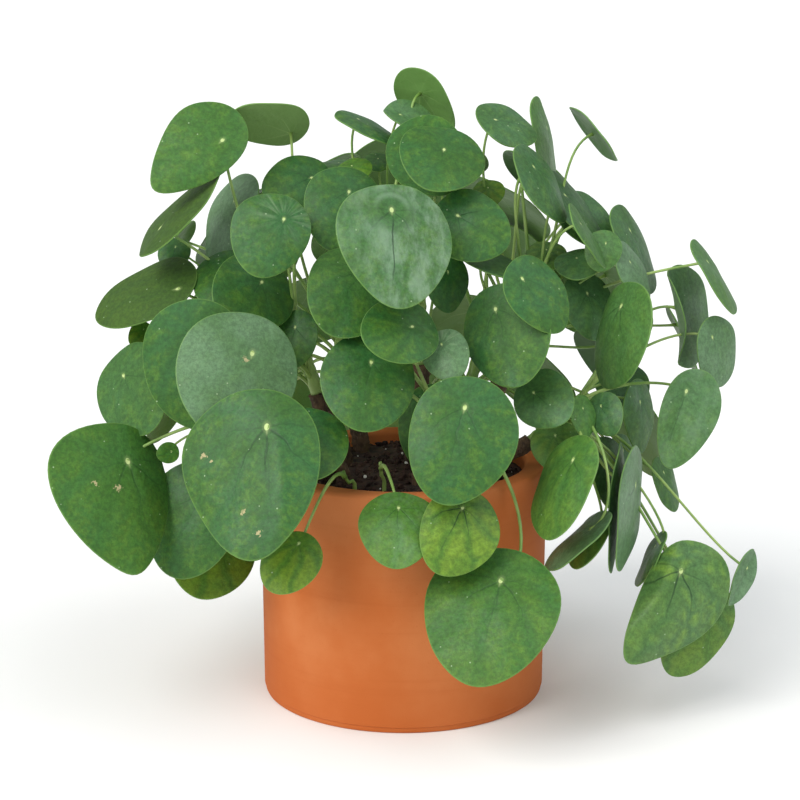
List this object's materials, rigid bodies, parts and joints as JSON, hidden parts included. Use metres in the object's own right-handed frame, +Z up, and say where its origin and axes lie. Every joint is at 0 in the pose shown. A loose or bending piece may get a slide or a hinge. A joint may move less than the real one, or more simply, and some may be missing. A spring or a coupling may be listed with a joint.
{
  "type": "potted house plant",
  "caption": "Bushy money plant with round coin-shaped leaves on long thin stalks, growing from dark soil in a smooth straight-sided terracotta pot; stands on a floor, shelf or table.",
  "frame": {"origin": "middle of the pot's flat base, on the surface it stands on", "axes": "+Z up, -Y towards the front that the picture shows, +X to the right seen from there"},
  "size_m": [0.4239, 0.3523, 0.3896],
  "materials": {
    "terracotta": "matt unglazed fired clay, fine grained, slightly paler in patches",
    "soil": "dark crumbly potting soil with a few pale perlite grains",
    "bark": "dull brown corky bark with leaf scars",
    "leaf": "satin dark green leaves with pale centre dots and faint veins, light green stalks"
  },
  "bodies": {
    "root": {"centre_stem": "bark", "centre_leaves": "leaf", "right_upper_stem": "bark", "right_upper_leaves": "leaf", "right_lower_stem": "bark", "right_lower_leaves": "leaf", "left_upper_stem": "bark", "left_upper_leaves": "leaf", "left_lower_stem": "bark", "left_lower_leaves": "leaf", "front_stem": "bark", "front_leaves": "leaf", "back_left_stem": "bark", "back_left_leaves": "leaf", "back_right_stem": "bark", "back_right_leaves": "leaf", "pup_left_leaves": "leaf", "pup_front_leaves": "leaf", "pot": "terracotta", "soil": "soil"}
  },
  "joints": []
}
